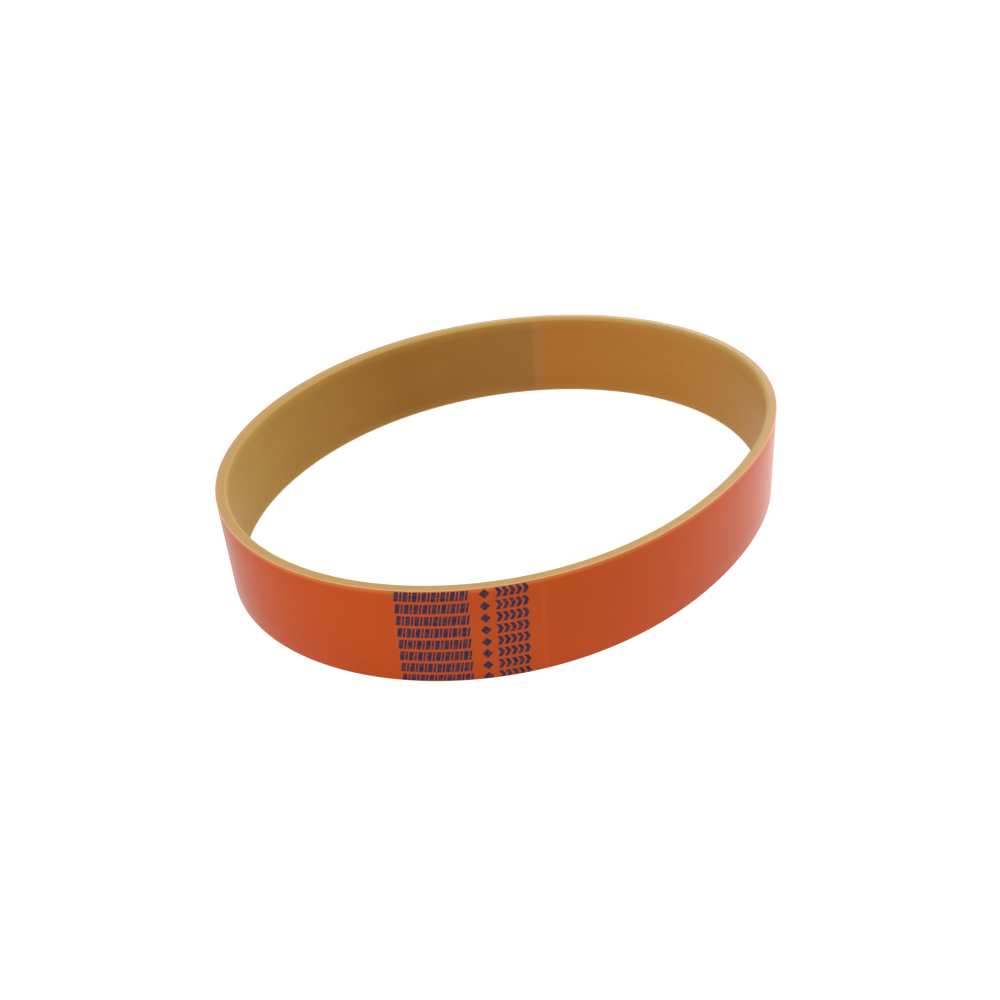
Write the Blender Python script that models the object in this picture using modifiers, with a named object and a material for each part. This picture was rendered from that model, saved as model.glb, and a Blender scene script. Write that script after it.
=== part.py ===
"""Endless flat drive belt, standing on its edge as a loose, slightly oval loop.

The belt is described as it is built up on a round drum: flat plies turned about Z, with two
strands of tension cord wound side by side between them. Every point of the round build is
then carried to the oval that the belt relaxes to when it stands free on a table.
Offsets are radial and count from the pitch line, the line of the cord centres.
"""
import math
from bisect import bisect_right

import bpy
from mathutils import Vector

# Length and width
PITCH_LENGTH = 0.558
BELT_WIDTH = 0.030

# Plies, from the back of the belt to its drive face
BACK_COVER = 0.00040
BACK_GUM = 0.00025
CUSHION_GUM = 0.00025
DRIVE_COVER = 0.00145
BOND_LINE = 0.00005

# Rounded edges of the drive face
SHOULDER_RADIUS = 0.00137
SHOULDER_STEPS = 4

# Tension cord
CORD_DIAMETER = 0.00060
CORD_SPACING = 0.00172
CORD_FILM = 0.00030
EDGE_LIP = 0.00120

# Shape of the relaxed loop: two-lobed, three-lobed and four-lobed parts of its radius
OVALITY = 0.0885
PEAR = 0.0083
PEAR_PHASE = 1.362
SQUARENESS = 0.0033
SQUARE_PHASE = 1.057

# Facets round the loop
PLY_STATIONS = 96
CORD_STATIONS = 48
LENGTH_SAMPLES = 720

# Worked out from the driving dimensions
DRUM_RADIUS = PITCH_LENGTH / math.tau
CORD_SPACE = CORD_DIAMETER / 2 + CORD_FILM
BACK_GUM_OUT = CORD_SPACE + BACK_GUM
BACK_COVER_IN = BACK_GUM_OUT + BOND_LINE
BACK_COVER_OUT = BACK_COVER_IN + BACK_COVER
CUSHION_IN = -CORD_SPACE - CUSHION_GUM
DRIVE_COVER_OUT = CUSHION_IN - BOND_LINE
DRIVE_FACE = DRIVE_COVER_OUT - DRIVE_COVER

MATERIALS = {
    "orange_elastomer": ((0.58, 0.105, 0.024), 0.42),
    "amber_gum": ((0.60, 0.33, 0.11), 0.50),
    "ochre_elastomer": ((0.42, 0.23, 0.065), 0.55),
    "cream_cord": ((0.78, 0.72, 0.58), 0.80),
}


def clear_scene():
    """Remove whatever the open file holds."""
    for item in list(bpy.data.objects):
        bpy.data.objects.remove(item, do_unlink=True)


def belt_collection():
    """Collection that holds the plies and the cord."""
    collection = bpy.data.collections.new("flat_drive_belt")
    bpy.context.scene.collection.children.link(collection)
    return collection


def surface_material(name):
    """Principled material in the colour and roughness of one compound."""
    material = bpy.data.materials.get(name)
    if material is not None:
        return material
    colour, roughness = MATERIALS[name]
    material = bpy.data.materials.new(name)
    material.use_nodes = True
    shader = material.node_tree.nodes["Principled BSDF"]
    shader.inputs["Base Color"].default_value = (*colour, 1.0)
    shader.inputs["Roughness"].default_value = roughness
    shader.inputs["Metallic"].default_value = 0.0
    return material


def lobed_radius(angle):
    """Radius of the relaxed loop at an angle, for a mean radius of one."""
    oval = OVALITY * math.cos(2 * angle)
    pear = PEAR * math.cos(3 * angle + PEAR_PHASE)
    square = SQUARENESS * math.cos(4 * angle + SQUARE_PHASE)
    return 1 + oval + pear + square


def lobed_slope(angle):
    """Change of that radius with the angle."""
    oval = -2 * OVALITY * math.sin(2 * angle)
    pear = -3 * PEAR * math.sin(3 * angle + PEAR_PHASE)
    square = -4 * SQUARENESS * math.sin(4 * angle + SQUARE_PHASE)
    return oval + pear + square


def arc_table():
    """Lengths along the relaxed loop up to each sample angle, for a mean radius of one."""
    step = math.tau / LENGTH_SAMPLES
    lengths = [0.0]
    for sample in range(LENGTH_SAMPLES):
        middle = (sample + 0.5) * step
        advance = math.hypot(lobed_radius(middle), lobed_slope(middle)) * step
        lengths.append(lengths[-1] + advance)
    return lengths


ARC_TABLE = arc_table()
MEAN_RADIUS = PITCH_LENGTH / ARC_TABLE[-1]


def loop_angle(drum_angle):
    """Angle on the loop that a drum angle comes to: the pitch line doesn't stretch."""
    length = (drum_angle / math.tau) % 1.0 * ARC_TABLE[-1]
    sample = min(bisect_right(ARC_TABLE, length), LENGTH_SAMPLES) - 1
    start = ARC_TABLE[sample]
    share = (length - start) / (ARC_TABLE[sample + 1] - start)
    return math.tau * (sample + share) / LENGTH_SAMPLES


def loop_point(drum_angle, offset):
    """Point in plan, at an offset square to the oval pitch line."""
    angle = loop_angle(drum_angle)
    radius = lobed_radius(angle)
    slope = lobed_slope(angle)
    along = Vector((
        slope * math.cos(angle) - radius * math.sin(angle),
        slope * math.sin(angle) + radius * math.cos(angle),
    )).normalized()
    outward = Vector((along.y, -along.x))
    on_pitch_line = Vector((math.cos(angle), math.sin(angle))) * radius * MEAN_RADIUS
    return on_pitch_line + outward * offset


def loop_centre():
    """Middle of the box round the outside of the belt, in plan."""
    stations = [math.tau * station / PLY_STATIONS for station in range(PLY_STATIONS)]
    outline = [loop_point(angle, BACK_COVER_OUT) for angle in stations]
    across = [point.x for point in outline]
    deep = [point.y for point in outline]
    return Vector(((min(across) + max(across)) / 2, (min(deep) + max(deep)) / 2))


LOOP_CENTRE = loop_centre()


def relax(point):
    """Carry a point of the round build to its place on the oval loop."""
    drum_angle = math.atan2(point.y, point.x)
    offset = math.hypot(point.x, point.y) - DRUM_RADIUS
    plan = loop_point(drum_angle, offset) - LOOP_CENTRE
    return Vector((plan.x, plan.y, point.z))


def band_section(outer, inner):
    """Plain rectangular section of a ply, down its outer side first."""
    return [(outer, BELT_WIDTH), (outer, 0.0), (inner, 0.0), (inner, BELT_WIDTH)]


def cushion_section():
    """Channel that holds the cord: a thin floor with a lip along each edge."""
    lip = CORD_SPACE - BOND_LINE
    floor = -CORD_SPACE
    top = BELT_WIDTH - EDGE_LIP
    return [
        (lip, BELT_WIDTH), (lip, top), (floor, top), (floor, EDGE_LIP),
        (lip, EDGE_LIP), (lip, 0.0), (CUSHION_IN, 0.0), (CUSHION_IN, BELT_WIDTH),
    ]


def drive_section():
    """Drive cover, whose two inner edges are rounded so that it climbs onto a pulley."""
    radius = min(SHOULDER_RADIUS, 0.95 * DRIVE_COVER)
    lower = []
    for step in range(SHOULDER_STEPS + 1):
        turn = math.radians(90) * step / SHOULDER_STEPS
        offset = DRIVE_FACE + radius - radius * math.sin(turn)
        lower.append((offset, radius - radius * math.cos(turn)))
    upper = [(offset, BELT_WIDTH - height) for offset, height in reversed(lower)]
    return [(DRIVE_COVER_OUT, BELT_WIDTH), (DRIVE_COVER_OUT, 0.0)] + lower + upper


def turned_ply(name, section, material_name, collection):
    """Turn a closed section about Z on the drum, then let the ring relax to the oval."""
    count = len(section)
    mesh = bpy.data.meshes.new(name + "_section")
    corners = [(DRUM_RADIUS + offset, 0.0, height) for offset, height in section]
    edges = [(corner, (corner + 1) % count) for corner in range(count)]
    mesh.from_pydata(corners, edges, [])
    ply = bpy.data.objects.new(name, mesh)
    collection.objects.link(ply)
    turn = ply.modifiers.new("turn", "SCREW")
    turn.axis = "Z"
    turn.angle = math.tau
    turn.steps = PLY_STATIONS
    turn.render_steps = PLY_STATIONS
    turn.use_merge_vertices = True
    turn.merge_threshold = 0.000005
    ring = ply.evaluated_get(bpy.context.evaluated_depsgraph_get())
    relaxed = bpy.data.meshes.new_from_object(ring)
    ply.modifiers.clear()
    ply.data = relaxed
    relaxed.name = name
    for vertex in relaxed.vertices:
        vertex.co = relax(vertex.co)
    relaxed.shade_smooth()
    relaxed.set_sharp_from_angle(angle=math.radians(25))
    relaxed.materials.append(surface_material(material_name))
    return ply


def winding_turns():
    """Whole turns of the strand pair that fit between the two edge lips."""
    height = BELT_WIDTH - 2 * (EDGE_LIP + CORD_SPACE)
    return int((height - CORD_SPACING) / (2 * CORD_SPACING))


def strand_points(strand):
    """Centre line of one strand, wound up the drum beside its neighbour.

    The stations stand off the pitch line by half the mean sag of the chords, so that the
    strand runs on that line on average.
    """
    turns = winding_turns()
    lead = 2 * CORD_SPACING
    start = (BELT_WIDTH - turns * lead - CORD_SPACING) / 2 + strand * CORD_SPACING
    sag = DRUM_RADIUS * (1 - math.cos(math.pi / CORD_STATIONS))
    radius = DRUM_RADIUS + sag / 2
    points = []
    for station in range(turns * CORD_STATIONS + 1):
        angle = math.tau * station / CORD_STATIONS
        height = start + lead * station / CORD_STATIONS
        wound = Vector((radius * math.cos(angle), radius * math.sin(angle), height))
        points.append(relax(wound))
    return points


def wound_strand(name, points, collection):
    """One unbroken tension cord through its winding points."""
    curve = bpy.data.curves.new(name, "CURVE")
    curve.dimensions = "3D"
    curve.twist_mode = "Z_UP"
    curve.bevel_depth = CORD_DIAMETER / 2
    curve.bevel_resolution = 1
    curve.use_fill_caps = True
    spline = curve.splines.new("POLY")
    spline.points.add(len(points) - 1)
    for control, point in zip(spline.points, points):
        control.co = (*point, 1.0)
    curve.materials.append(surface_material("cream_cord"))
    strand = bpy.data.objects.new(name, curve)
    collection.objects.link(strand)
    return strand


def least_winding_gap(strands):
    """Least clear distance between any two turns, measured on the winding points."""
    least = math.inf
    half_turn = CORD_STATIONS // 2
    for first, points in enumerate(strands):
        for second, others in enumerate(strands[first:], start=first):
            for place, point in enumerate(points):
                beside = others if second != first else others[place + half_turn:]
                for other in beside:
                    least = min(least, (point - other).length_squared)
    return math.sqrt(least) - CORD_DIAMETER


def build_belt():
    """Make the four plies and the two strands."""
    clear_scene()
    belt = belt_collection()
    back_cover = band_section(BACK_COVER_OUT, BACK_COVER_IN)
    back_gum = band_section(BACK_GUM_OUT, CORD_SPACE)
    turned_ply("back_cover", back_cover, "orange_elastomer", belt)
    turned_ply("back_gum_ply", back_gum, "amber_gum", belt)
    turned_ply("cushion_gum_ply", cushion_section(), "amber_gum", belt)
    turned_ply("drive_cover", drive_section(), "ochre_elastomer", belt)
    strands = [strand_points(0), strand_points(1)]
    wound_strand("tension_cord_s", strands[0], belt)
    wound_strand("tension_cord_z", strands[1], belt)
    gap = least_winding_gap(strands)
    print(f"winding: {winding_turns()} turns a strand, least gap {gap * 1000:.3f} mm")
    print(f"belt thickness {(BACK_COVER_OUT - DRIVE_FACE) * 1000:.2f} mm")


build_belt()
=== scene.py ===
import math

import bmesh
import bpy
from mathutils import Matrix, Vector


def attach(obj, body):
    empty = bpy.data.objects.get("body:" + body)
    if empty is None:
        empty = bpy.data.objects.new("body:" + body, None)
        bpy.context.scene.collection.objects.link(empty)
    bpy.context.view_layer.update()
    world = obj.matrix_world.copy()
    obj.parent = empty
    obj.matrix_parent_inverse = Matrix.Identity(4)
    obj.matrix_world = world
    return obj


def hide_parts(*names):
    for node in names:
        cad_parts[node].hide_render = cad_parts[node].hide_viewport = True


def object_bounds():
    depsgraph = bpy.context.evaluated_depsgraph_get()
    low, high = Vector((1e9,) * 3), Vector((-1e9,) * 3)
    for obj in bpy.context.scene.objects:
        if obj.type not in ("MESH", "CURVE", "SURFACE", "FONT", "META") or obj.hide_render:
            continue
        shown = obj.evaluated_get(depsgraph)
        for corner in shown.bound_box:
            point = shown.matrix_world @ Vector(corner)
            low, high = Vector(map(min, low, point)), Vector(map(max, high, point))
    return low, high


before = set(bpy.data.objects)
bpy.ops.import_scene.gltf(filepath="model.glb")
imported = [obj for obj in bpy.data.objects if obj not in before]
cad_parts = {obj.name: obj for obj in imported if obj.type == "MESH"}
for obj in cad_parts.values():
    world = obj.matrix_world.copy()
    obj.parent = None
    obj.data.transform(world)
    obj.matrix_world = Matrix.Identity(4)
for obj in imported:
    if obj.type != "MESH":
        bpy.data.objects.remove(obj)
cadLow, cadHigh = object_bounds()
beltWidth = cadHigh.z - cadLow.z
print("frame loaded, belt is", round(beltWidth * 1000, 2), "mm wide")


# small helpers

def toLinear(hexColour):
    # sRGB hex to the linear values that sockets take
    channels = []
    for start in (1, 3, 5):
        value = int(hexColour[start:start + 2], 16) / 255
        if value <= 0.04045:
            channels.append(value / 12.92)
        else:
            channels.append(((value + 0.055) / 1.055) ** 2.4)
    return (*channels, 1.0)


def addNode(tree, kind, settings=None, inputs=None):
    # inputs are named or counted; each is a value, or another node's output to link
    node = tree.nodes.new(kind)
    for name, value in (settings or {}).items():
        setattr(node, name, value)
    for name, value in (inputs or {}).items():
        if isinstance(value, bpy.types.NodeSocket):
            tree.links.new(value, node.inputs[name])
        else:
            node.inputs[name].default_value = value
    return node


# a Mix node for colours takes its share at input 0 and its colours at 6 and 7; output 2
blend = {"data_type": "RGBA"}
multiply = {"data_type": "RGBA", "blend_type": "MULTIPLY"}


def newMaterial(name):
    material = bpy.data.materials.new(name)
    material.use_nodes = True
    tree = material.node_tree
    tree.nodes.clear()
    return material, tree


def pickOnly(piece):
    bpy.ops.object.select_all(action="DESELECT")
    piece.select_set(True)
    bpy.context.view_layer.objects.active = piece


# the line round the belt, read from a ring of points at one height

ring = {
    "slack": 0.0004,
    "cadStep": math.radians(1.0),
    "smoothStep": math.radians(0.3),
}


def ringLine(piece, height, gap):
    # points closer in angle than the gap count as one station, at the outermost radius
    near = [v.co for v in piece.data.vertices if abs(v.co.z - height) < ring["slack"]]
    near = sorted((math.atan2(p.y, p.x) % math.tau, math.hypot(p.x, p.y)) for p in near)
    line = []
    for angle, radius in near:
        if line and angle - line[-1][0] < gap:
            line[-1] = (line[-1][0], max(line[-1][1], radius))
        else:
            line.append((angle, radius))
    points = [Vector((r * math.cos(a), r * math.sin(a))) for a, r in line]
    lengths = [0.0]
    for first, second in zip(points, points[1:] + points[:1]):
        lengths.append(lengths[-1] + (second - first).length)
    return {"angles": [a for a, r in line], "radii": [r for a, r in line],
            "points": points, "lengths": lengths}


def spotOnLine(line, angle):
    # station before the angle, and the share of the way to the next one
    angles = line["angles"]
    count = len(angles)
    angle = (angle - angles[0]) % math.tau + angles[0]
    low, high = 0, count
    while high - low > 1:
        middle = (low + high) // 2
        if angles[middle] <= angle:
            low = middle
        else:
            high = middle
    following = angles[low + 1] if low + 1 < count else angles[0] + math.tau
    return low, (angle - angles[low]) / (following - angles[low])


def lengthAt(line, angle):
    station, share = spotOnLine(line, angle)
    lengths = line["lengths"]
    return lengths[station] + (lengths[station + 1] - lengths[station]) * share


def radiusAt(line, angle):
    station, share = spotOnLine(line, angle)
    radii = line["radii"]
    return radii[station] * (1 - share) + radii[(station + 1) % len(radii)] * share


cadLine = ringLine(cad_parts["back_cover"], cadHigh.z, ring["cadStep"])
print("belt is", round(cadLine["lengths"][-1] * 1000, 1), "mm round its back")


def depthOf(point):
    # how far a point lies under the back of the belt
    return radiusAt(cadLine, math.atan2(point.y, point.x)) - math.hypot(point.x, point.y)


# plies: each is taken over from its CAD ring and given a smooth sweep; the back cover also gets
# round edges

ply = {
    "mergeDistance": 0.000002,
    "sameStation": math.radians(0.6),
    "sameLine": 0.00002,
    "sweepLevels": 2,
    "cornerAngle": math.radians(60),
    "sharpAngle": math.radians(40),
    "bond": 0.000046,
    "sameSide": 0.00006,
}


def alongBelt(edge):
    # 0 for an edge across the section, 1 for one along the belt, 2 for a diagonal
    first, second = edge.verts[0].co, edge.verts[1].co
    turn = math.atan2(first.x * second.y - first.y * second.x,
                      first.x * second.x + first.y * second.y)
    if abs(turn) < ply["sameStation"]:
        return 0
    apart = max(abs(first.z - second.z), abs(depthOf(first) - depthOf(second)))
    return 2 if apart > ply["sameLine"] else 1


def takeOver(nodeName, pieceName):
    piece = bpy.data.objects.new(pieceName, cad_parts[nodeName].data.copy())
    bpy.context.scene.collection.objects.link(piece)
    piece.data.materials.clear()
    pickOnly(piece)
    bpy.ops.mesh.customdata_custom_splitnormals_clear()
    bpy.ops.object.mode_set(mode="EDIT")
    bpy.ops.mesh.select_mode(type="EDGE")
    bpy.ops.mesh.select_all(action="SELECT")
    bpy.ops.mesh.remove_doubles(threshold=ply["mergeDistance"])
    bpy.ops.mesh.select_all(action="DESELECT")
    work = bmesh.from_edit_mesh(piece.data)
    for edge in work.edges:
        edge.select_set(alongBelt(edge) == 2)
    bmesh.update_edit_mesh(piece.data)
    bpy.ops.mesh.dissolve_edges(use_verts=False, use_face_split=False)
    bpy.ops.mesh.select_all(action="DESELECT")
    bpy.ops.object.mode_set(mode="OBJECT")
    return piece


def closeBond(piece):
    # lets a ply swell outwards until only a hair of its bond line is left
    depths = [depthOf(corner.co) for corner in piece.data.vertices]
    for corner, depth in zip(piece.data.vertices, depths):
        if depth < min(depths) + ply["sameSide"]:
            reach = math.hypot(corner.co.x, corner.co.y)
            grown = (reach + ply["bond"]) / reach
            corner.co = (corner.co.x * grown, corner.co.y * grown, corner.co.z)


def roundEdges(piece, width, steps, wanted):
    # rounds the long sharp edges that the test picks
    pickOnly(piece)
    bpy.ops.object.mode_set(mode="EDIT")
    bpy.ops.mesh.select_mode(type="EDGE")
    bpy.ops.mesh.select_all(action="DESELECT")
    work = bmesh.from_edit_mesh(piece.data)
    for edge in work.edges:
        if alongBelt(edge) == 1 and edge.calc_face_angle(0) > ply["cornerAngle"]:
            edge.select_set(wanted(edge))
    bmesh.update_edit_mesh(piece.data)
    bpy.ops.mesh.bevel(offset=width, segments=steps, profile=0.5, affect="EDGES")
    bpy.ops.object.mode_set(mode="OBJECT")


def sweepSmooth(piece):
    # long edges hold the section's shape, so only the run round the loop is smoothed
    pickOnly(piece)
    bpy.ops.object.mode_set(mode="EDIT")
    work = bmesh.from_edit_mesh(piece.data)
    creases = work.edges.layers.float
    crease = creases.get("crease_edge") or creases.new("crease_edge")
    for edge in work.edges:
        edge[crease] = 1.0 if alongBelt(edge) == 1 else 0.0
    bmesh.update_edit_mesh(piece.data)
    bpy.ops.object.mode_set(mode="OBJECT")
    sweep = piece.modifiers.new("sweep", "SUBSURF")
    sweep.levels = ply["sweepLevels"]
    sweep.render_levels = ply["sweepLevels"]
    bpy.ops.object.modifier_apply(modifier="sweep")
    bpy.ops.object.shade_smooth_by_angle(angle=ply["sharpAngle"])


def layBeltMap(piece, line):
    # map of the belt as if cut and laid flat: along its length, and across its width and edges
    layer = piece.data.uv_layers.new(name="beltMap")
    corners = piece.data.vertices
    spots = []
    for corner in corners:
        angle = math.atan2(corner.co.y, corner.co.x)
        depth = radiusAt(line, angle) - math.hypot(corner.co.x, corner.co.y)
        spots.append((lengthAt(line, angle), corner.co.z + depth))
    whole = line["lengths"][-1]
    for face in piece.data.polygons:
        first = spots[face.vertices[0]][0]
        for loop in face.loop_indices:
            along, across = spots[piece.data.loops[loop].vertex_index]
            if along - first > whole / 2:
                along -= whole
            if first - along > whole / 2:
                along += whole
            layer.data[loop].uv = (along, across)


def finishPiece(piece, node, material):
    piece.data.materials.append(material)
    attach(piece, "root")
    if node:
        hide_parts(node)


# places that the belt's patterns are laid on

def beltSpot(tree):
    # where a point lies on the belt map: X along the belt and Y across it, in metres
    place = addNode(tree, "ShaderNodeUVMap", {"uv_map": "beltMap"}).outputs["UV"]
    return addNode(tree, "ShaderNodeSeparateXYZ", inputs={"Vector": place}).outputs


def flatPlace(tree, scale):
    # belt map in units of a pattern, whose sizes along and across are given in mm
    place = addNode(tree, "ShaderNodeUVMap", {"uv_map": "beltMap"})
    steps = (1000 / scale[0], 1000 / scale[1], 1)
    return addNode(tree, "ShaderNodeMapping", inputs={
        "Vector": place.outputs["UV"], "Scale": steps}).outputs["Vector"]


def nearCut(tree, start, end):
    # 0 in the belt's middle, 1 at both cut edges; start and end count from the cut
    place = addNode(tree, "ShaderNodeTexCoord").outputs["Object"]
    height = addNode(tree, "ShaderNodeSeparateXYZ", inputs={"Vector": place}).outputs["Z"]
    aboveMiddle = addNode(tree, "ShaderNodeMath", {"operation": "SUBTRACT"}, {
        0: height, 1: (cadLow.z + cadHigh.z) / 2}).outputs[0]
    fromMiddle = addNode(tree, "ShaderNodeMath", {"operation": "ABSOLUTE"}, {
        0: aboveMiddle}).outputs[0]
    return addNode(tree, "ShaderNodeMapRange", {"interpolation_type": "SMOOTHSTEP"}, {
        "Value": fromMiddle, "From Min": beltWidth / 2 - start,
        "From Max": beltWidth / 2 - end}).outputs[0]


# back cover

cover = {
    "edgeRadius": 0.00014,
    "edgeSteps": 4,
    "orange": "#D45510",
    "deepOrange": "#CB4E0C",
    "mottle": 18.0,
    "grain": 0.35,
    "grainBump": 0.12,
    "grainDepth": 0.00002,
    "gloss": 0.18,
    "roughness": 0.22,
    "sheen": "#FFFCE6",
    "sheenShare": 0.12,
    "sheenRoughness": 0.22,
    "depthShare": 0.2,
    "depth": 0.0012,
    "film": "#DE7440",
    "filmLine": 0.3576,
    "filmWidth": 0.0012,
    "filmShare": 0.13,
    # painted light: the orange is painted paler towards the upper cut, as if lit from above
    "paintedLight": "#EE9A50",
    "paintedLightShare": 0.5,
    "paintedLightFrom": 0.0018,
    "paintedLightTo": 0.0001,
    # peach of the cut faces, lightened as a painted highlight on the rounded edges
    "cutAndHighlight": "#FFBE82",
    "cutAndHighlightFrom": 0.00013,
    "cutAndHighlightTo": 0.00003,
}


def coverMaterial():
    # cast polyurethane, calendered: even orange with a satin skin and a little depth; both
    # knife cuts are a pale peach, lightened further as a painted highlight on the rounded
    # edges; beside the upper cut the orange is painted paler, painted light from above; and a
    # faint line crosses the back where the print film ended
    material, tree = newMaterial("castPolyurethaneOrange")
    clouds = addNode(tree, "ShaderNodeTexNoise", inputs={
        "Vector": flatPlace(tree, (cover["mottle"] * 2, cover["mottle"])),
        "Scale": 1.0, "Detail": 3.0})
    even = addNode(tree, "ShaderNodeMix", blend, {
        0: clouds.outputs["Fac"], 6: toLinear(cover["orange"]),
        7: toLinear(cover["deepOrange"])}).outputs[2]
    spot = beltSpot(tree)
    film = addNode(tree, "ShaderNodeMath", {"operation": "COMPARE"}, {
        0: spot["X"], 1: cover["filmLine"], 2: cover["filmWidth"] / 2}).outputs[0]
    faint = addNode(tree, "ShaderNodeMath", {"operation": "MULTIPLY"}, {
        0: film, 1: cover["filmShare"]}).outputs[0]
    lined = addNode(tree, "ShaderNodeMix", blend, {
        0: faint, 6: even, 7: toLinear(cover["film"])}).outputs[2]
    # painted light: only the upper edge of the orange turns paler, where light falls from above
    paintedLightMask = addNode(tree, "ShaderNodeMapRange", {"interpolation_type": "SMOOTHSTEP"}, {
        "Value": spot["Y"], "From Min": beltWidth - cover["paintedLightFrom"],
        "From Max": beltWidth - cover["paintedLightTo"], "To Max": cover["paintedLightShare"]}).outputs[0]
    paintedLightColour = addNode(tree, "ShaderNodeMix", blend, {
        0: paintedLightMask, 6: lined, 7: toLinear(cover["paintedLight"])}).outputs[2]
    # partly painted highlight: both cuts and their rounded edges turn light peach
    colour = addNode(tree, "ShaderNodeMix", blend, {
        0: nearCut(tree, cover["cutAndHighlightFrom"], cover["cutAndHighlightTo"]), 6: paintedLightColour,
        7: toLinear(cover["cutAndHighlight"])}).outputs[2]
    grain = addNode(tree, "ShaderNodeTexNoise", inputs={
        "Vector": flatPlace(tree, (cover["grain"], cover["grain"])),
        "Scale": 1.0, "Detail": 2.0})
    bump = addNode(tree, "ShaderNodeBump", inputs={
        "Strength": cover["grainBump"], "Distance": cover["grainDepth"],
        "Height": grain.outputs["Fac"]})
    skin = addNode(tree, "ShaderNodeBsdfPrincipled", inputs={
        "Base Color": colour,
        "Roughness": cover["roughness"],
        "IOR": 1.5,
        "Specular IOR Level": cover["gloss"],
        "Sheen Weight": cover["sheenShare"],
        "Sheen Tint": toLinear(cover["sheen"]),
        "Sheen Roughness": cover["sheenRoughness"],
        "Subsurface Weight": cover["depthShare"],
        "Subsurface Radius": (1.0, 0.35, 0.12),
        "Subsurface Scale": cover["depth"],
        "Normal": bump.outputs["Normal"],
    })
    addNode(tree, "ShaderNodeOutputMaterial", inputs={"Surface": skin.outputs["BSDF"]})
    return material


coverPiece = takeOver("back_cover", "backCover")
roundEdges(coverPiece, cover["edgeRadius"], cover["edgeSteps"],
           lambda edge: depthOf(edge.verts[0].co) < 0.0001)
sweepSmooth(coverPiece)
beltLine = ringLine(coverPiece, (cadLow.z + cadHigh.z) / 2, ring["smoothStep"])
layBeltMap(coverPiece, beltLine)
finishPiece(coverPiece, "back_cover", coverMaterial())
print("back cover made,", len(coverPiece.data.polygons), "faces")


# gum plies

gum = {
    "amber": "#DFAE69",
    "deepAmber": "#D5A15D",
    "tan": "#D6A654",
    "tanFrom": 0.0009,
    "tanTo": 0.0018,
    "scoreLength": 30.0,
    "scorePitch": 0.12,
    "scoreBump": 0.3,
    "scoreDepth": 0.00003,
    "gloss": 0.5,
    "roughness": 0.38,
    "depthShare": 0.3,
    "depth": 0.0015,
}


def gumMaterial():
    # soft amber gum, cut with a knife: faint score lines run round the cut edge, and it
    # turns from amber to tan towards the drive cover
    material, tree = newMaterial("cutGumAmber")
    scores = addNode(tree, "ShaderNodeTexNoise", inputs={
        "Vector": flatPlace(tree, (gum["scoreLength"], gum["scorePitch"])),
        "Scale": 1.0, "Detail": 2.0})
    scored = addNode(tree, "ShaderNodeMix", blend, {
        0: scores.outputs["Fac"], 6: toLinear(gum["amber"]),
        7: toLinear(gum["deepAmber"])}).outputs[2]
    inward = addNode(tree, "ShaderNodeMapRange", {"interpolation_type": "SMOOTHSTEP"}, {
        "Value": beltSpot(tree)["Y"], "From Min": beltWidth + gum["tanFrom"],
        "From Max": beltWidth + gum["tanTo"]}).outputs[0]
    colour = addNode(tree, "ShaderNodeMix", blend, {
        0: inward, 6: scored, 7: toLinear(gum["tan"])}).outputs[2]
    bump = addNode(tree, "ShaderNodeBump", inputs={
        "Strength": gum["scoreBump"], "Distance": gum["scoreDepth"],
        "Height": scores.outputs["Fac"]})
    skin = addNode(tree, "ShaderNodeBsdfPrincipled", inputs={
        "Base Color": colour,
        "Roughness": gum["roughness"],
        "Specular IOR Level": gum["gloss"],
        "Subsurface Weight": gum["depthShare"],
        "Subsurface Radius": (1.0, 0.6, 0.3),
        "Subsurface Scale": gum["depth"],
        "Normal": bump.outputs["Normal"],
    })
    addNode(tree, "ShaderNodeOutputMaterial", inputs={"Surface": skin.outputs["BSDF"]})
    return material


gumSkin = gumMaterial()
gumPlies = {"back_gum_ply": "backGumPly", "cushion_gum_ply": "cushionGumPly"}
for nodeName, pieceName in gumPlies.items():
    gumPiece = takeOver(nodeName, pieceName)
    closeBond(gumPiece)
    sweepSmooth(gumPiece)
    layBeltMap(gumPiece, beltLine)
    finishPiece(gumPiece, nodeName, gumSkin)
print("gum plies made")


# drive cover

drive = {
    "brown": "#B37E3C",
    "olive": "#A4702E",
    "yellow": "#BC9140",
    "tawny": "#CA944A",
    "ochre": "#C68035",
    "band": "#BE8546",
    "splice": 0.0508,
    "bandWidth": 0.0058,
    "mottle": 22.0,
    "mottleShare": 0.07,
    "lineLength": 60.0,
    "linePitch": 0.8,
    "lineShare": 0.045,
    "lineBump": 0.25,
    "lineDepth": 0.00004,
    # painted light: lighter bands on the ochre wall towards both cut edges
    "paintedLight": "#D2A750",
    "paintedLightShare": 0.35,
    "paintedLightFrom": 0.0045,
    "paintedLightTo": 0.0004,
    # golden cut-face colour, carried over the rounded shoulders as painted light
    "edge": "#D7AE64",
    "litShoulderFrom": 0.0014,
    "litShoulderTo": 0.0001,
    "gloss": 0.14,
    "roughness": 0.45,
    "depthShare": 0.2,
    "depth": 0.0015,
}


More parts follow.
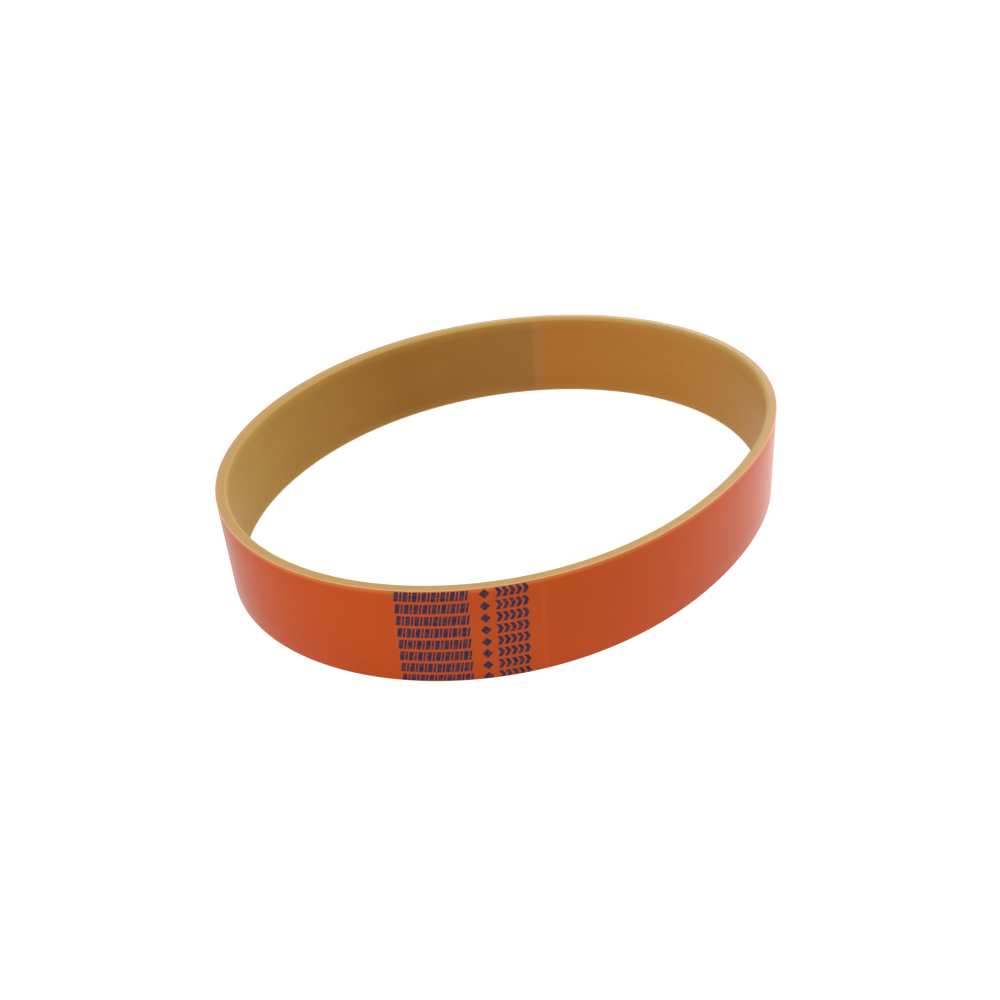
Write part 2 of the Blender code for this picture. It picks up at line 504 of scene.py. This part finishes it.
def driveMaterial():
    # ochre polyurethane, ground along its length, which leaves fine lines: its colour runs
    # round the loop from brown at the splice through olive, yellow and tawny to ochre, a
    # paler band crosses the splice, and towards both cut edges the colour is painted lighter
    # and golden, painted light on the wall below the rim and on the rounded shoulders
    material, tree = newMaterial("groundPolyurethaneOchre")
    fromSplice = addNode(tree, "ShaderNodeMath", {"operation": "SUBTRACT"}, {
        0: beltSpot(tree)["X"], 1: drive["splice"]}).outputs[0]
    turns = addNode(tree, "ShaderNodeMath", {"operation": "DIVIDE"}, {
        0: fromSplice, 1: beltLine["lengths"][-1]}).outputs[0]
    drift = addNode(tree, "ShaderNodeMath", {"operation": "FRACT"}, {0: turns}).outputs[0]
    # colour ramp round the loop, starting at the splice
    loopRamp = addNode(tree, "ShaderNodeValToRGB", inputs={"Fac": drift})
    stops = loopRamp.color_ramp.elements
    stops[0].color, stops[1].color = toLinear(drive["brown"]), toLinear(drive["ochre"])
    stops.new(0.1).color = toLinear(drive["olive"])
    stops.new(0.25).color = toLinear(drive["yellow"])
    stops.new(0.8).color = toLinear(drive["tawny"])
    nearSplice = addNode(tree, "ShaderNodeMath", {"operation": "ABSOLUTE"}, {
        0: fromSplice}).outputs[0]
    band = addNode(tree, "ShaderNodeMapRange", {"interpolation_type": "SMOOTHSTEP"}, {
        "Value": nearSplice, "From Min": drive["bandWidth"] / 2,
        "From Max": drive["bandWidth"] / 8}).outputs[0]
    spliced = addNode(tree, "ShaderNodeMix", blend, {
        0: band, 6: loopRamp.outputs["Color"], 7: toLinear(drive["band"])}).outputs[2]
    clouds = addNode(tree, "ShaderNodeTexNoise", inputs={
        "Vector": flatPlace(tree, (drive["mottle"] * 2, drive["mottle"])),
        "Scale": 1.0, "Detail": 3.0})
    worn = addNode(tree, "ShaderNodeMapRange", inputs={
        "Value": clouds.outputs["Fac"], "To Min": 1 - drive["mottleShare"],
        "To Max": 1 + drive["mottleShare"]}).outputs[0]
    mottled = addNode(tree, "ShaderNodeMix", multiply, {0: 1.0, 6: spliced, 7: worn}).outputs[2]
    lines = addNode(tree, "ShaderNodeTexNoise", inputs={
        "Vector": flatPlace(tree, (drive["lineLength"], drive["linePitch"])),
        "Scale": 1.0, "Detail": 3.0})
    streaks = addNode(tree, "ShaderNodeMapRange", inputs={
        "Value": lines.outputs["Fac"], "From Min": 0.3, "From Max": 0.7,
        "To Min": 1 - drive["lineShare"], "To Max": 1 + drive["lineShare"]}).outputs[0]
    ground = addNode(tree, "ShaderNodeMix", multiply, {
        0: 1.0, 6: mottled, 7: streaks}).outputs[2]
    # painted light: the wall is painted lighter towards both cut edges, lit from above at the
    # top and by the table at the foot
    paintedLightMask = addNode(tree, "ShaderNodeMath", {"operation": "MULTIPLY"}, {
        0: nearCut(tree, drive["paintedLightFrom"], drive["paintedLightTo"]), 1: drive["paintedLightShare"]}).outputs[0]
    paintedLightColour = addNode(tree, "ShaderNodeMix", blend, {
        0: paintedLightMask, 6: ground, 7: toLinear(drive["paintedLight"])}).outputs[2]
    # painted light: the rims and rounded shoulders are painted golden, as if lit from above
    colour = addNode(tree, "ShaderNodeMix", blend, {
        0: nearCut(tree, drive["litShoulderFrom"], drive["litShoulderTo"]), 6: paintedLightColour,
        7: toLinear(drive["edge"])}).outputs[2]
    bump = addNode(tree, "ShaderNodeBump", inputs={
        "Strength": drive["lineBump"], "Distance": drive["lineDepth"],
        "Height": lines.outputs["Fac"]})
    skin = addNode(tree, "ShaderNodeBsdfPrincipled", inputs={
        "Base Color": colour,
        "Roughness": drive["roughness"],
        "Specular IOR Level": drive["gloss"],
        "Subsurface Weight": drive["depthShare"],
        "Subsurface Radius": (1.0, 0.6, 0.3),
        "Subsurface Scale": drive["depth"],
        "Normal": bump.outputs["Normal"],
    })
    addNode(tree, "ShaderNodeOutputMaterial", inputs={"Surface": skin.outputs["BSDF"]})
    return material


drivePiece = takeOver("drive_cover", "driveCover")
closeBond(drivePiece)
sweepSmooth(drivePiece)
layBeltMap(drivePiece, beltLine)
finishPiece(drivePiece, "drive_cover", driveMaterial())
print("drive cover made")


# tension cords stay as the CAD winds them

cord = {
    "cream": "#E3D9BF",
    "shade": "#BFB08C",
    "lay": 0.9,
    "layBump": 0.5,
    "layDepth": 0.0001,
    "slant": (0.4, 0.5, 0.6),
    "wander": 1.5,
    "roughness": 0.75,
}


def cordMaterial():
    # twisted polyester, dipped: cream strands that cross the cord at a slant
    material, tree = newMaterial("dippedPolyesterCream")
    place = addNode(tree, "ShaderNodeTexCoord").outputs["Object"]
    slanted = addNode(tree, "ShaderNodeMapping", inputs={
        "Vector": place, "Rotation": cord["slant"]}).outputs["Vector"]
    strands = addNode(tree, "ShaderNodeTexWave", inputs={
        "Vector": slanted, "Scale": 1000 / cord["lay"] / 6.28, "Distortion": cord["wander"]})
    colour = addNode(tree, "ShaderNodeMix", blend, {
        0: strands.outputs["Fac"], 6: toLinear(cord["cream"]),
        7: toLinear(cord["shade"])}).outputs[2]
    bump = addNode(tree, "ShaderNodeBump", inputs={
        "Strength": cord["layBump"], "Distance": cord["layDepth"],
        "Height": strands.outputs["Fac"]})
    skin = addNode(tree, "ShaderNodeBsdfPrincipled", inputs={
        "Base Color": colour, "Roughness": cord["roughness"],
        "Normal": bump.outputs["Normal"]})
    addNode(tree, "ShaderNodeOutputMaterial", inputs={"Surface": skin.outputs["BSDF"]})
    return material


cordSkin = cordMaterial()
for nodeName in ("tension_cord_s", "tension_cord_z"):
    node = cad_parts[nodeName]
    node.data.materials.clear()
    node.data.materials.append(cordSkin)
print("cords dressed")


# printed marks: rows of plain bars, a diamond and arrowheads, where the real belt is lettered

mark = {
    "rows": 8,
    "rowPitch": 0.0039,
    "rowShift": -0.0001,
    "firstTop": 0.0296,
    "height": 0.003,
    "slant": 0.0006,
    "barStart": 0.3186,
    "barPitch": 0.00249,
    "bars": 8,
    "thickBar": 0.00124,
    "thinBar": 0.00062,
    "thinBarGap": 0.00123,
    "diamond": 0.3428,
    "diamondWidth": 0.0029,
    "arrowStart": 0.3457,
    "arrowPitch": 0.0018,
    "arrows": 5,
    "arrowWidth": 0.00115,
    "lift": 0.000008,
    "film": 0.000014,
    "lowest": 0.0002,
    "ink": "#2B2947",
    "thinInk": "#6E4048",
    "blot": (1.6, 1.1),
    "thinFrom": 0.42,
    "thinTo": 0.68,
    "gloss": 0.15,
    "roughness": 0.5,
}


def inkMaterial():
    # screen ink on polyurethane: blue violet, thin in places so that the orange warms it
    material, tree = newMaterial("screenInkViolet")
    blots = addNode(tree, "ShaderNodeTexNoise", inputs={
        "Vector": flatPlace(tree, mark["blot"]), "Scale": 1.0, "Detail": 4.0, "Roughness": 0.7})
    thin = addNode(tree, "ShaderNodeMapRange", {"interpolation_type": "SMOOTHSTEP"}, {
        "Value": blots.outputs["Fac"], "From Min": mark["thinFrom"],
        "From Max": mark["thinTo"]}).outputs[0]
    colour = addNode(tree, "ShaderNodeMix", blend, {
        0: thin, 6: toLinear(mark["ink"]), 7: toLinear(mark["thinInk"])}).outputs[2]
    skin = addNode(tree, "ShaderNodeBsdfPrincipled", inputs={
        "Base Color": colour, "Roughness": mark["roughness"],
        "Specular IOR Level": mark["gloss"]})
    addNode(tree, "ShaderNodeOutputMaterial", inputs={"Surface": skin.outputs["BSDF"]})
    return material


def selectWhere(piece, wanted):
    bpy.ops.mesh.select_all(action="DESELECT")
    work = bmesh.from_edit_mesh(piece.data)
    for corner in work.verts:
        corner.select_set(wanted(corner))
    bmesh.update_edit_mesh(piece.data)


def flatMark(centre, width, shape):
    # one mark, flat: the belt's length runs along X and its height up Y, middle line at 0
    bpy.ops.mesh.primitive_plane_add(size=1.0, location=(0, 0, 0))
    piece = bpy.context.object
    bpy.ops.object.mode_set(mode="EDIT")
    bpy.ops.mesh.select_mode(type="VERT")
    bpy.ops.mesh.select_all(action="SELECT")
    bpy.ops.transform.resize(value=(width, mark["height"], 1))
    if shape == "diamond":
        # a plane of half the size, turned by an eighth, reaches its corners to the full size
        bpy.ops.transform.resize(value=(0.5, 0.5, 1))
        for corner in bmesh.from_edit_mesh(piece.data).verts:
            across, up = corner.co.x, corner.co.y
            corner.co.x = across - up * width / mark["height"]
            corner.co.y = up + across * mark["height"] / width
        bmesh.update_edit_mesh(piece.data)
    if shape == "arrow":
        bpy.ops.mesh.subdivide(number_cuts=1)
        selectWhere(piece, lambda corner: abs(corner.co.y) < mark["height"] / 4)
        bpy.ops.transform.translate(value=(mark["arrowPitch"] * 0.45, 0, 0))
    if shape == "bar":
        selectWhere(piece, lambda corner: corner.co.y > 0)
        bpy.ops.transform.translate(value=(mark["slant"], 0, 0))
    bpy.ops.mesh.select_all(action="SELECT")
    bpy.ops.transform.translate(value=(centre, 0, 0))
    bpy.ops.object.mode_set(mode="OBJECT")
    return piece


def flatRow():
    # one row as it is printed, flat: pairs of bars, the diamond, and the arrowheads
    marks = []
    for number in range(mark["bars"]):
        centre = mark["barStart"] + (number + 0.5) * mark["barPitch"]
        marks.append(flatMark(centre - mark["thinBarGap"] / 2, mark["thickBar"], "bar"))
        marks.append(flatMark(centre + mark["thinBarGap"] / 2, mark["thinBar"], "bar"))
    marks.append(flatMark(mark["diamond"], mark["diamondWidth"], "diamond"))
    for number in range(mark["arrows"]):
        centre = mark["arrowStart"] + (number + 0.25) * mark["arrowPitch"]
        marks.append(flatMark(centre, mark["arrowWidth"], "arrow"))
    bpy.ops.object.select_all(action="DESELECT")
    for piece in marks:
        piece.select_set(True)
    bpy.context.view_layer.objects.active = marks[0]
    bpy.ops.object.join()
    return bpy.context.object


def pointOnBelt(line, along):
    # the point at a length along the line, and the way outwards there
    lengths, points = line["lengths"], line["points"]
    passed = sum(1 for length in lengths if length <= along)
    station = max(0, min(len(points) - 1, passed - 1))
    start, end = points[station], points[(station + 1) % len(points)]
    share = (along - lengths[station]) / (lengths[station + 1] - lengths[station])
    way = (end - start).normalized()
    return start.lerp(end, share), Vector((way.y, -way.x))


def wrapRow(piece):
    # carries the flat row to the belt's back and gives the ink its film
    pickOnly(piece)
    bpy.ops.object.mode_set(mode="EDIT")
    bpy.ops.mesh.select_all(action="SELECT")
    bpy.ops.mesh.bisect(plane_co=(0, mark["lowest"], 0), plane_no=(0, -1, 0), clear_outer=True)
    bpy.ops.object.mode_set(mode="OBJECT")
    layer = piece.data.uv_layers.active or piece.data.uv_layers.new()
    layer.name = "beltMap"
    for loop in piece.data.loops:
        flat = piece.data.vertices[loop.vertex_index].co
        layer.data[loop.index].uv = (flat.x, flat.y)
    for corner in piece.data.vertices:
        spot, outward = pointOnBelt(beltLine, corner.co.x - firstLength)
        spot = spot + outward * mark["lift"]
        corner.co = (spot.x, spot.y, corner.co.y)
    film = piece.modifiers.new("film", "SOLIDIFY")
    film.thickness = mark["film"]
    film.offset = 1.0
    bpy.ops.object.modifier_apply(modifier="film")


# the line round the belt starts a little past +X, so lengths are counted on from there
firstLength = beltLine["angles"][0] * beltLine["radii"][0]

inkSkin = inkMaterial()
row = flatRow()
row.data.materials.clear()
for number in range(mark["rows"]):
    printed = bpy.data.objects.new(f"printRow{number + 1}", row.data.copy())
    bpy.context.scene.collection.objects.link(printed)
    middle = mark["firstTop"] - mark["height"] / 2 - number * mark["rowPitch"]
    for corner in printed.data.vertices:
        corner.co.x += number * mark["rowShift"]
        corner.co.y += middle
    wrapRow(printed)
    finishPiece(printed, None, inkSkin)
bpy.data.objects.remove(row, do_unlink=True)
print("printed marks made")


# floor, light and camera

room = {
    "floorSize": 4.0,
    "floorGap": 0.00005,
    "floor": "#F2F2F2",
    "floorGlow": 0.85,
    # painted reflection: the floor's glow in gloss rises from left to right
    "duskSide": -0.11,
    "brightSide": 0.11,
    "duskGlow": 0.53,
    "brightGlow": 0.88,
    "floorShade": "#ABABAB",
    "skyLight": 0.43,
}


def showsWhite(tree):
    # 1 for rays that come from the eye: straight, by gloss or through glass
    path = addNode(tree, "ShaderNodeLightPath").outputs
    seen = addNode(tree, "ShaderNodeMath", {"operation": "MAXIMUM"}, {
        0: path["Is Camera Ray"], 1: path["Is Glossy Ray"]}).outputs[0]
    return addNode(tree, "ShaderNodeMath", {"operation": "MAXIMUM"}, {
        0: seen, 1: path["Is Transmission Ray"]}).outputs[0]


def makeFloor():
    # gives the object a matt white table; to the eye its white is full, less the shadow
    bpy.ops.object.select_all(action="DESELECT")
    below = (0, 0, cadLow.z - room["floorGap"])
    bpy.ops.mesh.primitive_plane_add(size=room["floorSize"], location=below)
    floor = bpy.context.object
    floor.name = "paleFloor"
    material, tree = newMaterial("paleFloor")
    matt = addNode(tree, "ShaderNodeBsdfDiffuse", inputs={
        "Color": toLinear(room["floor"])}).outputs[0]
    # to glossy rays the table glows brighter to the right, a painted reflection in the belt's
    # skin; seen straight it's even
    place = addNode(tree, "ShaderNodeTexCoord").outputs["Object"]
    across = addNode(tree, "ShaderNodeSeparateXYZ", inputs={"Vector": place}).outputs["X"]
    paintedReflectionGlow = addNode(tree, "ShaderNodeMapRange", {"interpolation_type": "SMOOTHSTEP"}, {
        "Value": across, "From Min": room["duskSide"], "From Max": room["brightSide"],
        "To Min": room["duskGlow"], "To Max": room["brightGlow"]}).outputs[0]
    straight = addNode(tree, "ShaderNodeLightPath").outputs["Is Camera Ray"]
    strength = addNode(tree, "ShaderNodeMix", {"data_type": "FLOAT"}, {
        0: straight, 2: paintedReflectionGlow, 3: room["floorGlow"]}).outputs[0]
    glow = addNode(tree, "ShaderNodeEmission", inputs={"Strength": strength}).outputs[0]
    shaded = addNode(tree, "ShaderNodeBsdfDiffuse", inputs={
        "Color": toLinear(room["floorShade"])}).outputs[0]
    white = addNode(tree, "ShaderNodeAddShader", inputs={0: shaded, 1: glow}).outputs[0]
    table = addNode(tree, "ShaderNodeMixShader", inputs={
        0: showsWhite(tree), 1: matt, 2: white}).outputs[0]
    addNode(tree, "ShaderNodeOutputMaterial", inputs={"Surface": table})
    floor.data.materials.append(material)


def makeSky():
    world = bpy.data.worlds.new("whiteRoom")
    bpy.context.scene.world = world
    world.use_nodes = True
    tree = world.node_tree
    tree.nodes.clear()
    soft = addNode(tree, "ShaderNodeBackground", inputs={
        "Color": (1, 1, 1, 1), "Strength": room["skyLight"]}).outputs[0]
    white = addNode(tree, "ShaderNodeBackground", inputs={
        "Color": (1, 1, 1, 1), "Strength": 1.0}).outputs[0]
    sky = addNode(tree, "ShaderNodeMixShader", inputs={
        0: showsWhite(tree), 1: soft, 2: white}).outputs[0]
    addNode(tree, "ShaderNodeOutputWorld", inputs={"Surface": sky})


# soft disks, told by the way they lie in degrees, and in metres and watts; the back one
# only lifts the far right of the cut edge
lamps = {
    "left": {"turn": 182, "height": 30, "distance": 1.0, "size": 0.6, "power": 3.3},
    "right": {"turn": 317, "height": 30, "distance": 1.0, "size": 0.6, "power": 4.15},
    "back": {"turn": 32, "height": 12, "distance": 1.0, "size": 0.5, "power": 1.2},
}


def makeLamps():
    for name, facts in lamps.items():
        light = bpy.data.lights.new(name, "AREA")
        light.shape = "DISK"
        light.size = facts["size"]
        light.energy = facts["power"]
        lamp = bpy.data.objects.new(name, light)
        bpy.context.scene.collection.objects.link(lamp)
        turn, height = math.radians(facts["turn"]), math.radians(facts["height"])
        away = Vector((math.cos(turn) * math.cos(height), math.sin(turn) * math.cos(height),
                       math.sin(height)))
        lamp.location = away * facts["distance"]
        lamp.rotation_euler = away.to_track_quat("Z", "Y").to_euler()


# fitted to the two rims in the photo
eye = {
    "place": (-0.26132, -0.23341, 0.20601),
    "turn": 48.302,
    "height": 34.756,
    "tilt": -4.307,
    "lens": 43.379,
    "sensor": 36.0,
    "shift": (-0.0151, 0.0953),
}


def makeCamera():
    lens = bpy.data.cameras.new("eye")
    lens.lens = eye["lens"]
    lens.sensor_width = eye["sensor"]
    lens.shift_x, lens.shift_y = eye["shift"]
    lens.clip_start = 0.01
    lens.clip_end = 20.0
    camera = bpy.data.objects.new("eye", lens)
    bpy.context.scene.collection.objects.link(camera)
    turned = (Matrix.Rotation(-math.radians(eye["turn"]), 4, "Z")
              @ Matrix.Rotation(math.radians(90 - eye["height"]), 4, "X")
              @ Matrix.Rotation(math.radians(eye["tilt"]), 4, "Z"))
    camera.matrix_world = Matrix.Translation(Vector(eye["place"])) @ turned
    bpy.context.scene.camera = camera


makeFloor()
makeSky()
makeLamps()
makeCamera()
bpy.context.scene.view_settings.view_transform = "Standard"
print("floor, light and camera made")
